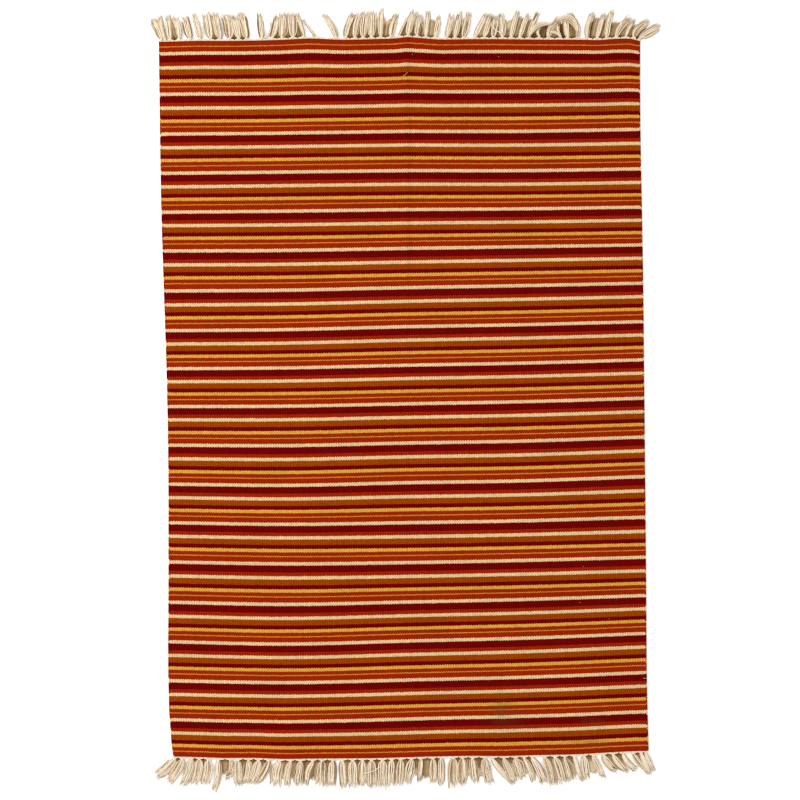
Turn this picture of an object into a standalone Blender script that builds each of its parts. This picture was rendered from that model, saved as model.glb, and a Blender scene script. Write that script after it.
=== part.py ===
"""A flat-woven striped wool rug with a knotted cotton fringe at each end, lying flat.

Units are metres, +Z up. The warps run along Y and the wefts along X, and the origin is on the
floor under the middle of the cloth. The far end is the one at +Y, the near end the one at -Y.
"""

from collections import namedtuple

import bmesh
import bpy
import numpy as np

MM = 0.001

# The woven cloth: 18 repeats of the stripe pattern and its border stripe, 395 warps wide.
CLOTH_WIDTH = 1200 * MM
CLOTH_LENGTH = 1800 * MM
CLOTH_THICKNESS = 4 * MM
OUTLINE_STEP = 16 * MM
CLEARANCE = 0.3 * MM

# How far each selvedge lies from its straight line, in mm toward +X, by the place along Y.
Selvedge = namedtuple("Selvedge", "along left right")
SELVEDGES = (
    Selvedge(-900, 20, 9),
    Selvedge(-856, 14, 7.5),
    Selvedge(-756, 9, 5),
    Selvedge(-456, 8, 2.5),
    Selvedge(-156, 7.5, -0.5),
    Selvedge(44, 4, -2.5),
    Selvedge(294, -4, -5),
    Selvedge(444, -9, -7.5),
    Selvedge(744, -14, -12.5),
    Selvedge(900, -16, -12.5),
)

# How far each woven end lies from its straight line, in mm toward +Y, by the place along X.
WovenEnd = namedtuple("WovenEnd", "across near far")
WOVEN_ENDS = (
    WovenEnd(-600, 4, -9),
    WovenEnd(-510, 1, -7.5),
    WovenEnd(-370, 0, -7.5),
    WovenEnd(-310, -1, -4),
    WovenEnd(-237, -1, -1),
    WovenEnd(-162, 0, -6),
    WovenEnd(-72, 1, -4),
    WovenEnd(3, 4, 1),
    WovenEnd(48, 5, -4),
    WovenEnd(162, 6, -6),
    WovenEnd(320, 9, -6),
    WovenEnd(450, 11, -5),
    WovenEnd(530, 16, -4),
    WovenEnd(600, 19, -8),
)

# The fringe: the warp ends, knotted by eights into tassels of three locks each.
STRIP_WIDTH = 3.5 * MM
ROOT_WIDTH = 13 * MM
ROOT_SHARE = 0.62
KNOT_WIDTH = 7 * MM
KNOT_HEIGHT = 6 * MM
KNOT_AT = 6 * MM
NECK_WIDTH = 5 * MM
NECK_HEIGHT = 4.5 * MM
NECK_AT = 9 * MM
SLIM_BELLY = 12 * MM
BELLY_SHARE = 0.9
BELLY_HEIGHT = 4 * MM
BELLY_PLACE = 0.5
BELLY_LEAN = 0.46
BELLY_LOCK_SHARE = 0.78
TIP_HEIGHT = 2.5 * MM
TIP_LOCK_SHARE = 0.62
LOCKS = 3
STEEP = 0.7

# Runs of tassels, from -X to +X: the number of tassels, the first and last root along X, how
# far the first and last tip lean toward +X, how far the first and last reach, and the widest
# that a tassel of the run spreads, all in mm.
Run = namedtuple("Run", "tassels first last lean_first lean_last reach_first reach_last belly")
FAR_RUNS = (
    Run(3, -606, -584, -20, -22, 50, 55, 16),
    Run(3, -562, -512, -16, -18, 56, 58, 20),
    Run(5, -487, -393, -14, -4, 58, 62, 21),
    Run(1, -358, -358, -10, -10, 60, 60, 18),
    Run(4, -330, -252, 6, -10, 64, 66, 20),
    Run(1, -227, -227, -23, -23, 44, 44, 5),
    Run(1, -169, -169, -27, -27, 57, 57, 18),
    Run(6, -148, -37, 16, 8, 64, 68, 22),
    Run(5, -15, 76, 20, 12, 62, 55, 21),
    Run(3, 104, 150, 12, 16, 60, 64, 20),
    Run(6, 176, 300, 30, 24, 62, 60, 21),
    Run(5, 322, 425, 14, 6, 56, 62, 21),
    Run(3, 457, 507, 10, 18, 64, 66, 21),
    Run(3, 532, 580, 24, 58, 58, 46, 18),
)
NEAR_RUNS = (
    Run(2, -572, -554, -38, -26, 44, 54, 18),
    Run(3, -530, -492, -24, -6, 58, 64, 20),
    Run(1, -467, -467, -16, -16, 80, 80, 16),
    Run(1, -434, -434, -4, -4, 50, 50, 18),
    Run(4, -412, -345, -6, -22, 62, 60, 20),
    Run(4, -310, -240, -20, -10, 66, 68, 22),
    Run(3, -212, -160, 2, 0, 68, 68, 21),
    Run(10, -132, 95, -2, 4, 70, 72, 22),
    Run(2, 120, 146, -2, 4, 74, 72, 21),
    Run(2, 172, 200, 14, 18, 66, 66, 21),
    Run(2, 220, 247, 36, 36, 66, 62, 20),
    Run(3, 272, 315, 26, 30, 62, 66, 21),
    Run(3, 350, 401, 6, 12, 74, 70, 22),
    Run(2, 427, 452, 14, 2, 66, 64, 18),
    Run(1, 476, 476, 20, 20, 60, 60, 16),
    Run(3, 500, 550, 28, 32, 56, 50, 20),
    Run(3, 572, 601, 24, 20, 52, 44, 18),
)

RUST = (0.30, 0.035, 0.008)
CREAM = (0.72, 0.58, 0.40)
WOOL_ROUGHNESS = 0.9
COTTON_ROUGHNESS = 0.85


def clear_scene():
    for obj in list(bpy.data.objects):
        bpy.data.objects.remove(obj, do_unlink=True)


def smooth_lookup(rows, place, column, at):
    """A column of a table, read between its rows along a curve with no corners (metres)."""
    places = np.array([getattr(row, place) for row in rows], float) * MM
    values = np.array([getattr(row, column) for row in rows], float) * MM
    slopes = np.gradient(values, places)
    at = np.clip(at, places[0], places[-1])
    i = np.clip(np.searchsorted(places, at) - 1, 0, len(places) - 2)
    gap = places[i + 1] - places[i]
    t = (at - places[i]) / gap
    start = values[i] * (1 + 2 * t) * (1 - t) ** 2 + slopes[i] * gap * t * (1 - t) ** 2
    return start + values[i + 1] * t**2 * (3 - 2 * t) - slopes[i + 1] * gap * t**2 * (1 - t)


def selvedge_x(side, y):
    """The X of the left or right selvedge at this place along Y."""
    straight = -CLOTH_WIDTH / 2 if side == "left" else CLOTH_WIDTH / 2
    return straight + smooth_lookup(SELVEDGES, "along", side, y)


def woven_end_y(end, x):
    """The Y of the near or far woven end at this place along X."""
    straight = -CLOTH_LENGTH / 2 if end == "near" else CLOTH_LENGTH / 2
    return straight + smooth_lookup(WOVEN_ENDS, "across", end, x)


def end_corners(end):
    """The X of the two corners of this woven end."""
    y = -CLOTH_LENGTH / 2 if end == "near" else CLOTH_LENGTH / 2
    return selvedge_x("left", y), selvedge_x("right", y)


def fabric_material(name, colour, roughness):
    material = bpy.data.materials.new(name)
    material.use_nodes = True
    shader = material.node_tree.nodes["Principled BSDF"]
    shader.inputs["Base Color"].default_value = (*colour, 1.0)
    shader.inputs["Roughness"].default_value = roughness
    shader.inputs["Metallic"].default_value = 0.0
    material.diffuse_color = (*colour, 1.0)
    return material


def cloth_outline():
    """The outline of the cloth, anticlockwise from its near left corner."""
    points = []
    for end, direction in (("near", 1), ("far", -1)):
        left, right = end_corners(end)
        columns = np.linspace(left, right, round(CLOTH_WIDTH / OUTLINE_STEP))[::direction]
        points += [(x, woven_end_y(end, x)) for x in columns]
        side = "right" if end == "near" else "left"
        other_end = "far" if end == "near" else "near"
        start, stop = points[-1][1], woven_end_y(other_end, points[-1][0])
        rows = np.linspace(start, stop, len(SELVEDGES) * 4)[1:-1]
        points += [(selvedge_x(side, y), y) for y in rows]
    return points


def make_cloth(collection, material):
    curve = bpy.data.curves.new("woven_cloth", "CURVE")
    curve.dimensions = "2D"
    curve.fill_mode = "BOTH"
    curve.extrude = CLOTH_THICKNESS / 2
    outline = cloth_outline()
    spline = curve.splines.new("POLY")
    spline.points.add(len(outline) - 1)
    spline.use_cyclic_u = True
    for point, (x, y) in zip(spline.points, outline):
        point.co = (x, y, 0.0, 1.0)
    curve.materials.append(material)
    cloth = bpy.data.objects.new("woven_cloth", curve)
    cloth.location.z = CLOTH_THICKNESS / 2
    collection.objects.link(cloth)


def along_runs(runs, first, last):
    """A value for each tassel, even between the first and the last of its run."""
    spread = [np.linspace(getattr(r, first), getattr(r, last), r.tassels) for r in runs]
    return np.concatenate(spread) * MM


def room_beside(places):
    """The distance from each place to the nearer of its two neighbours."""
    gaps = np.diff(places)
    return np.minimum(np.append(gaps, gaps[-1]), np.insert(gaps, 0, gaps[0]))


def tassels_of(runs):
    """The root, root width, belly width, lean and reach of each tassel of these runs."""
    roots = along_runs(runs, "first", "last")
    leans = along_runs(runs, "lean_first", "lean_last")
    reaches = along_runs(runs, "reach_first", "reach_last")
    root_widths = np.minimum(ROOT_WIDTH, ROOT_SHARE * room_beside(roots))
    room = np.minimum(room_beside(roots + BELLY_LEAN * leans), room_beside(roots + leans))
    bellies = np.minimum(along_runs(runs, "belly", "belly"), BELLY_SHARE * room)
    return list(zip(roots, root_widths, bellies, leans, reaches))


def strip_stations(end, tassels):
    """The X of each cross-section of the strip: the two corners, and four on each tassel."""
    left, right = end_corners(end)
    stations = [left]
    for root, root_width, _, _, _ in tassels:
        stations += [root + root_width * (k / LOCKS - 0.5) for k in range(LOCKS + 1)]
    return stations + [right]


def place_section(faces, centre, y, width, height):
    """Puts the corners of a row of faces on an upright section at this Y."""
    corners = {v for f in faces for v in f.verts}
    middle = sum(v.co.z for v in corners) / len(corners)
    low = min(v.co.x for v in corners)
    high = max(v.co.x for v in corners)
    for v in corners:
        share = (v.co.x - low) / (high - low) - 0.5
        v.co = (centre + share * width, y, height if v.co.z > middle else 0.0)


def grow_tassel(mesh, faces, edge_y, outward, tassel):
    """Draws three cells of the strip out to a knot and its neck, then each cell to a lock."""
    root, _, belly, lean, reach = tassel
    slimness = min(1.0, belly / SLIM_BELLY)
    for width, height, distance in (
        (KNOT_WIDTH, KNOT_HEIGHT, KNOT_AT),
        (NECK_WIDTH, NECK_HEIGHT, NECK_AT),
    ):
        grown = bmesh.ops.extrude_face_region(mesh, geom=faces)["geom"]
        bmesh.ops.delete(mesh, geom=faces, context="FACES")
        faces = [g for g in grown if isinstance(g, bmesh.types.BMFace)]
        place_section(faces, root, edge_y + outward * distance, slimness * width, height)
    faces.sort(key=lambda f: f.calc_center_median().x)
    for k, face in enumerate(faces):
        aside = (k - (LOCKS - 1) / 2) / LOCKS * belly
        for place, lean_share, lock_share, height in (
            (BELLY_PLACE, BELLY_LEAN, BELLY_LOCK_SHARE, BELLY_HEIGHT),
            (1.0, 1.0, TIP_LOCK_SHARE, TIP_HEIGHT),
        ):
            face = bmesh.ops.extrude_discrete_faces(mesh, faces=[face])["faces"][0]
            y = edge_y + outward * (NECK_AT + place * (reach - NECK_AT))
            centre = root + lean_share * lean + aside
            place_section([face], centre, y, lock_share * belly / LOCKS, height)


def make_fringe(name, end, runs, collection, material):
    outward = -1 if end == "near" else 1
    tassels = tassels_of(runs)
    stations = strip_stations(end, tassels)
    mesh = bmesh.new()
    bmesh.ops.create_grid(mesh, x_segments=len(stations) - 1, y_segments=1, size=1.0)
    columns = np.array(stations)
    edges = woven_end_y(end, columns)
    for v in mesh.verts:
        i = round((v.co.x + 1) / 2 * (len(stations) - 1))
        distance = CLEARANCE + (STRIP_WIDTH if v.co.y > 0 else 0.0)
        v.co = (columns[i], edges[i] + outward * distance, 0.0)
    upper = bmesh.ops.extrude_face_region(mesh, geom=list(mesh.faces))["geom"]
    bmesh.ops.translate(
        mesh,
        verts=[g for g in upper if isinstance(g, bmesh.types.BMVert)],
        vec=(0.0, 0.0, CLOTH_THICKNESS),
    )
    bmesh.ops.recalc_face_normals(mesh, faces=mesh.faces)
    outer = [f for f in mesh.faces if f.normal.y * outward > STEEP]
    for tassel in tassels:
        root, root_width = tassel[:2]
        cells = [f for f in outer if abs(f.calc_center_median().x - root) < root_width / 2]
        outer = [f for f in outer if f not in cells]
        grow_tassel(mesh, cells, woven_end_y(end, root), outward, tassel)
    bmesh.ops.recalc_face_normals(mesh, faces=mesh.faces)
    data = bpy.data.meshes.new(name)
    mesh.to_mesh(data)
    mesh.free()
    data.materials.append(material)
    fringe = bpy.data.objects.new(name, data)
    collection.objects.link(fringe)


def main():
    clear_scene()
    rug = bpy.data.collections.new("striped_wool_rug")
    bpy.context.scene.collection.children.link(rug)
    wool = fabric_material("wool_cloth", RUST, WOOL_ROUGHNESS)
    cotton = fabric_material("cotton_fringe", CREAM, COTTON_ROUGHNESS)
    make_cloth(rug, wool)
    make_fringe("far_fringe", "far", FAR_RUNS, rug, cotton)
    make_fringe("near_fringe", "near", NEAR_RUNS, rug, cotton)


main()
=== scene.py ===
"""The looks of the striped wool rug: its weave, fringe, floor, light and camera, in metres."""

import math
from collections import namedtuple

import bpy
import numpy as np
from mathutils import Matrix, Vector


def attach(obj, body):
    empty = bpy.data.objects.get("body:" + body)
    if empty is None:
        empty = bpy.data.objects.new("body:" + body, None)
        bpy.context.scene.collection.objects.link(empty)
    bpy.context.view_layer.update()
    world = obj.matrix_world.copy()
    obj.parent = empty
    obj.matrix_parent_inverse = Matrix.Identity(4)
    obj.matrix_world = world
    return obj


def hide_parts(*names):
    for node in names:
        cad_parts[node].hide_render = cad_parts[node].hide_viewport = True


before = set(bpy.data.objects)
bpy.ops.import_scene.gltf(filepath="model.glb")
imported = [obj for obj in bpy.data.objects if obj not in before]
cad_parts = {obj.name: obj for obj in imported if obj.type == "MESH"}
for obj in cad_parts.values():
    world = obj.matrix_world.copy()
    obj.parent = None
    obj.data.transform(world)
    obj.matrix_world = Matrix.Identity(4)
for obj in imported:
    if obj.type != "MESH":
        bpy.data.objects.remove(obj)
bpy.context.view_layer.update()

MM = 0.001
RANDOM = np.random.default_rng(41)


def table(columns, *rows):
    """A table with named columns, from its rows."""
    return tuple(columns(*row) for row in rows)


# The weave: warps along Y, and wefts that hide them, each over one warp and under the next.
CLOTH_WIDTH = 1200 * MM
CLOTH_LENGTH = 1800 * MM
CLOTH_THICKNESS = 4 * MM
WARPS = 395
WARP_PITCH = CLOTH_WIDTH / WARPS
BORDER_PICKS = 24
REPEATS = 18

# One repeat of the stripes from the far end to the near end: the yarn, and its picks.
Stripe = namedtuple("Stripe", "yarn picks")
STRIPES = table(
    Stripe,
    ("cream", 7),
    ("maroon", 15),
    ("rust", 8),
    ("cream", 7),
    ("brown", 12),
    ("maroon", 9),
    ("gold", 7),
    ("rust", 8),
    ("amber", 2),
    ("rust", 11),
)
REPEAT_PICKS = sum(stripe.picks for stripe in STRIPES)
BORDER_RUST_PICKS = 4
PICKS = BORDER_PICKS + REPEATS * REPEAT_PICKS
PICK_PITCH = CLOTH_LENGTH / PICKS

# How far each selvedge lies from its straight line, in mm toward +X, by the place along Y.
Selvedge = namedtuple("Selvedge", "along left right")
SELVEDGES = table(
    Selvedge,
    (-900, 20, 9),
    (-856, 14, 7.5),
    (-756, 9, 5),
    (-456, 8, 2.5),
    (-156, 7.5, -0.5),
    (44, 4, -2.5),
    (294, -4, -5),
    (444, -9, -7.5),
    (744, -14, -12.5),
    (900, -16, -12.5),
)

# How far each woven end lies from its straight line, in mm toward +Y, by the place along X.
WovenEnd = namedtuple("WovenEnd", "across near far")
WOVEN_ENDS = table(
    WovenEnd,
    (-600, 3.6, -9.8),
    (-510, 1.5, -7.5),
    (-460, -0.3, -7.8),
    (-370, -0.3, -6.7),
    (-310, -2.7, -4.9),
    (-237, -2.0, -1.6),
    (-162, -1.4, -4.5),
    (-72, -0.6, -2.9),
    (-20, 0.7, -0.9),
    (3, 1.3, 1.7),
    (36, 2.5, -0.4),
    (82, 3.6, -3.8),
    (162, 4.9, -3.4),
    (242, 4.6, -3.4),
    (320, 6.5, -4.3),
    (450, 9.8, -5),
    (482, 11.8, -5.6),
    (530, 14.6, -2.4),
    (566, 16.2, -2.8),
    (588, 17, -8),
    (600, 17, -9),
)
END_FADE = 90 * MM

# How far the wefts lie from straight and even, in mm toward +Y, by the place along Y, at the
# left selvedge, a quarter across, the middle, three quarters across and the right selvedge.
Weft = namedtuple("Weft", "along left left_mid middle right_mid right")
WEFTS = table(
    Weft,
    (-900, 7, 0, 4, 10, 20),
    (-868, 6.4, -0.2, 5.0, 11.8, 21.9),
    (-806, 2.5, -2.7, 4.2, 11.9, 22.7),
    (-700, 0.8, -4.1, 2.5, 9.6, 21.2),
    (-609, -0.5, -6.4, 1.3, 8.8, 20.6),
    (-510, -0.5, -6, 0.1, 6.6, 16.4),
    (-412, 2.4, -2.4, 0.1, 5.7, 13.2),
    (-215, -0.7, -3.6, 3, 7.9, 18.6),
    (-18, -3.2, -2.2, 3.5, 9, 17.6),
    (178, -11.2, -8.5, -1.2, 4.2, 11.9),
    (375, -8.7, -7.2, -2.3, 2.2, 6.8),
    (572, -11.6, -8.1, -4.7, -5, -0.7),
    (769, -10.9, -8.7, -3.9, -3.8, -0.4),
    (868, -7.3, -3.1, 0, -3.4, -5.6),
    (900, -9, -4, 0, -5, -8),
)

# The cloth's mesh: its columns, and its rows, which lie closer at the two ends. Its ribs are the
# warps, and its rims are rounded and thinner than the rest.
COLUMNS_A_WARP = 4
ROW_STEP = 84 * MM
END_ROWS = (0.0, 0.9 * MM, 2.4 * MM, 9 * MM, 30 * MM)
RIB_HEIGHT = 0.5 * MM
EDGE_ROUNDING = 2 * MM
END_ROUNDING = 1.5 * MM
SIDE_THIN = 0.35
END_THIN = 0.8

# The fringe: where its parts lie, outward from the woven end, its cords, and how light they are
# low on their sides.
KNOT_AT = 4.6 * MM
NECK_AT = 7.4 * MM
KNOT_HEIGHT = 3.2 * MM
NECK_HALF = 2.8 * MM
FAN_LENGTH = 5.5 * MM
CORD_RADIUS = 1.55 * MM
CORDS_A_TASSEL = 14
SIDE_TONE = 0.74

# The tassels of each end from -X to +X, in mm: the root along X, how far the tip leans toward
# +X, how far it reaches outward, how wide it spreads, how far its middle bows toward +X and how
# tangled it is. Cords on the floor fill the gap to the next tassel, coloured with painted shade up
# to a share of the reach. A share over 1 paints the darker shade of the hollow under a loop.
Tassel = namedtuple("Tassel", "root lean reach belly bow tangle shaded")
FAR_TASSELS = table(
    Tassel,
    (-610, -20, 52, 17, 0, 1.5, 0.3),
    (-601, -12, 56, 12, -2, 1, 0),
    (-588, -6, 60, 16, 0, 1, 0.35),
    (-566, -9, 58, 22, 0, 1, 0),
    (-538, -13, 57, 19, 0, 1, 0),
    (-513, -14, 64, 13, 0, 1, 0),
    (-487, -10, 66, 24, 0, 1, 0.3),
    (-464, -11, 65, 18, -1, 1, 0),
    (-439, -9, 63, 23, 2, 1.5, 0.3),
    (-416, -10, 58, 18, 0, 1.5, 0.2),
    (-397, -12, 67, 19, 0, 1.5, 0),
    (-359, -5, 61, 15.5, 0, 1.5, 0),
    (-333, 12, 57, 17, 2, 1, 0.4),
    (-308, 3, 65, 21.5, 2, 1, 0.4),
    (-281, -3, 60, 20, 1, 1, 0.45),
    (-255, -15, 57, 12, 1, 1, 0),
    (-227, -24, 41, 4, 0, 0.5, 0),
    (-173, -27, 58, 15, 3, 1, 0),
    (-149, 17, 62, 18, -2, 1.5, 0.5),
    (-125, 12, 63, 20, -2, 1.5, 0.3),
    (-105, 7, 64, 19, -1, 1.5, 0.3),
    (-84, 1, 63, 19, 0, 1.5, 0.4),
    (-61, 1, 68, 13, 0, 1.5, 0.65),
    (-36, 13, 58, 15.5, -2, 2, 0),
    (-15, 19, 46, 7, 0, 1, 0.6),
    (7, 13, 60, 19, -1, 2, 0.5),
    (30, 6, 54, 16, -1, 2, 0.5),
    (52, 6, 64, 13, 0, 1, 0.9),
    (75, 9, 54, 13, 0, 2, 0),
    (104, 11, 58, 16, 0, 1.5, 0.4),
    (125, 11, 61, 16, 0, 1.5, 0.5),
    (146, 13, 64, 16, 0, 1.5, 0),
    (175, 25, 59, 14, 0, 1, 0.9),
    (198, 16, 58, 15.5, -1, 1.5, 0.7),
    (221, 4, 52, 17, 0, 5, 0.6),
    (243, -2, 58, 17, 0, 4, 0.45),
    (265, 15, 67, 13, -1, 1.5, 0.95),
    (287, 19, 58, 13, -1, 2, 0.9),
    (310, 19, 62, 12, -3, 2, 1.02),
    (335, 3, 34, 9, -6, 1, 1.1),
    (358, 20, 46, 16, -3, 2, 0.8),
    (388, -6, 36, 8, -4, 2, 1.25),
    (406, -5, 54, 15, -2, 3, 0.8),
    (430, -14, 60, 12, 7, 1.5, 0),
    (455, 12, 64, 14, -4, 1.5, 0.95),
    (480, 16, 60, 13, -1, 1.5, 0.9),
    (504, 11, 66, 16, -2, 1.5, 0.75),
    (528, 31, 52, 15, -4, 1, 0.8),
    (552, 18, 42, 8, -2, 1, 0.8),
    (572, 31, 44, 18, -6, 1, 0.8),
    (587, 46, 35, 23, 0, 1, 0),
)
NEAR_TASSELS = table(
    Tassel,
    (-577, -42, 50, 25, 2, 1, 0.3),
    (-558, -29, 60, 24, 2, 1, 0),
    (-534, -20, 66, 23, 3, 1.5, 0.35),
    (-515, -13, 64, 24, 3, 1.5, 0.35),
    (-493, -8, 62, 22, 3, 1.5, 0),
    (-467, -10, 77, 17, 3, 2, 0.8),
    (-437, -5, 46, 12, 4, 3, 0),
    (-418, 0, 64, 21, 0, 1, 0.35),
    (-392, -8, 62, 24, 2, 1.5, 0.35),
    (-367, -16, 59, 23, 2, 1.5, 0.5),
    (-342, -26, 57, 20.5, 2, 1.5, 0),
    (-314, -10, 64, 28, -3, 3, 0.6),
    (-287, -9, 62, 17, -3, 2, 0.75),
    (-262, -8, 60, 19, 0, 3, 0.8),
    (-231, -18, 60, 15, -3, 2, 0.85),
    (-208, -4, 66, 26, 0, 2, 0.5),
    (-181, -3, 66, 21, 0, 1, 0),
    (-157, 3, 68, 19, 0, 1, 0.6),
    (-131, 1, 68, 24, 0, 2, 0.35),
    (-107, 1, 66, 24, 0, 2, 0.4),
    (-84, 0, 68, 24, 0, 2, 0.45),
    (-57, 0, 68, 24, 0, 2, 0.35),
    (-33, -2, 66, 25, 0, 3, 0.35),
    (-11, -2, 63, 21, 0, 2, 0.5),
    (16, -9, 62, 22, 0, 3, 0.5),
    (39, -4, 56, 12, 0, 1, 0.95),
    (69, 0, 61, 20, 0, 2, 0.4),
    (90, 0, 64, 18, 0, 1.5, 0),
    (121, -2, 72, 24, 0, 1.5, 0.35),
    (143, 2, 66, 23, 0, 1.5, 0.5),
    (169, 8, 62, 21, 0, 2, 0.5),
    (198, 12, 65, 23, -2, 3, 0),
    (218, 46, 62, 14, -3, 1, 0.45),
    (247, 24, 62, 17, 0, 1.5, 0.35),
    (276, 14, 54, 25, 3, 4, 0.5),
    (298, 22, 60, 16, 3, 2, 0.7),
    (318, 28, 67, 18, 4, 3, 0),
    (350, 18, 68, 19, 2, 2, 0.4),
    (375, 17, 65, 24, 2, 2, 0.4),
    (399, 16, 62, 22, 2, 2, 0.35),
    (423, 16, 60, 10, 0, 1, 0),
    (447, 6, 57, 21, 0, 1.5, 0.3),
    (471, 24, 57, 14, 0, 1, 0),
    (496, 26, 43, 18, -4, 2, 0.9),
    (520, 30, 45, 15, -3, 2, 0.6),
    (545, 28, 43, 14, -4, 2, 0),
    (571, 33, 50, 14.5, -2, 1.5, 0.6),
    (590, 18, 52, 12, 0, 1.5, 0.6),
    (602, 17, 44, 12, 0, 1, 0),
)

# The photo looks straight down at a point of the floor, and the camera has a long lens.
PIXEL = 2.5 * MM
PICTURE_PIXELS = 800
PICTURE_MIDDLE = (-13 * MM, -5.5 * MM)
LENS = 85.0
SENSOR = 36.0


def linear(red, green, blue):
    """A colour given as screen values from 0 to 255, in the renderer's linear values."""
    shares = (c / 255 for c in (red, green, blue))
    return tuple(s / 12.92 if s <= 0.04045 else ((s + 0.055) / 1.055) ** 2.4 for s in shares)


YARNS = {
    "cream": linear(211, 181, 134),
    "maroon": linear(99, 2, 4),
    "rust": linear(140, 32, 2),
    "brown": linear(141, 57, 2),
    "gold": linear(203, 148, 56),
    "amber": linear(193, 125, 44),
}
COTTON = linear(233, 218, 196)
FRAYED = linear(238, 223, 199)

# The cotton's colour by its painted shade tone: 0 in the deepest hollow, 1 in full light.
Tone = namedtuple("Tone", "place colour")
COTTON_TONES = (
    Tone(0.0, linear(62, 38, 16)),
    Tone(0.3, linear(145, 112, 67)),
    Tone(0.62, linear(210, 189, 157)),
    Tone(1.0, COTTON),
)
FRAYED_TONES = (Tone(0.0, COTTON), Tone(1.0, FRAYED))


def smooth_lookup(places, values, at):
    """Values given at rising places (last axis), read at others along a curve with no corners."""
    places, values = np.asarray(places, float), np.asarray(values, float)
    slopes = np.gradient(values, places, axis=-1)
    at = np.clip(at, places[0], places[-1])
    i = np.clip(np.searchsorted(places, at) - 1, 0, len(places) - 2)
    gap = places[i + 1] - places[i]
    t = (at - places[i]) / gap
    low, high = values[..., i], values[..., i + 1]
    return (
        low * (1 + 2 * t) * (1 - t) ** 2
        + slopes[..., i] * gap * t * (1 - t) ** 2
        + high * t**2 * (3 - 2 * t)
        - slopes[..., i + 1] * gap * t**2 * (1 - t)
    )


def column_of(rows, name):
    return np.array([getattr(row, name) for row in rows], float) * MM


def selvedge_x(side, along):
    straight = -CLOTH_WIDTH / 2 if side == "left" else CLOTH_WIDTH / 2
    askew = smooth_lookup(column_of(SELVEDGES, "along"), column_of(SELVEDGES, side), along)
    return straight + askew


def woven_end_y(end, x):
    straight = -CLOTH_LENGTH / 2 if end == "near" else CLOTH_LENGTH / 2
    wave = smooth_lookup(column_of(WOVEN_ENDS, "across"), column_of(WOVEN_ENDS, end), x)
    return straight + wave


def place_on_floor(across, along):
    """The X and Y of the points of a grid of loom places, across by along, as the cloth lies."""
    left, right = selvedge_x("left", along), selvedge_x("right", along)
    share = across[None, :] / CLOTH_WIDTH + 0.5
    x = left[:, None] * (1 - share) + right[:, None] * share
    names = ("left", "left_mid", "middle", "right_mid", "right")
    stations = np.linspace(-CLOTH_WIDTH / 2, CLOTH_WIDTH / 2, len(names))
    drifts = np.array([column_of(WEFTS, name) for name in names])
    drift = smooth_lookup(column_of(WEFTS, "along"), drifts, along)
    y = along[:, None] + smooth_lookup(stations, drift.T, across)
    for end, straight, row in (("near", -CLOTH_LENGTH / 2, 0), ("far", CLOTH_LENGTH / 2, -1)):
        at_end = smooth_lookup(stations, drifts[:, row], across)
        wanted = woven_end_y(end, x[np.argmin(np.abs(along - straight))]) - straight
        fade = np.exp(-np.abs(along - straight) / END_FADE)
        y += fade[:, None] * (wanted - at_end)[None, :]
    return x, y


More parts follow.
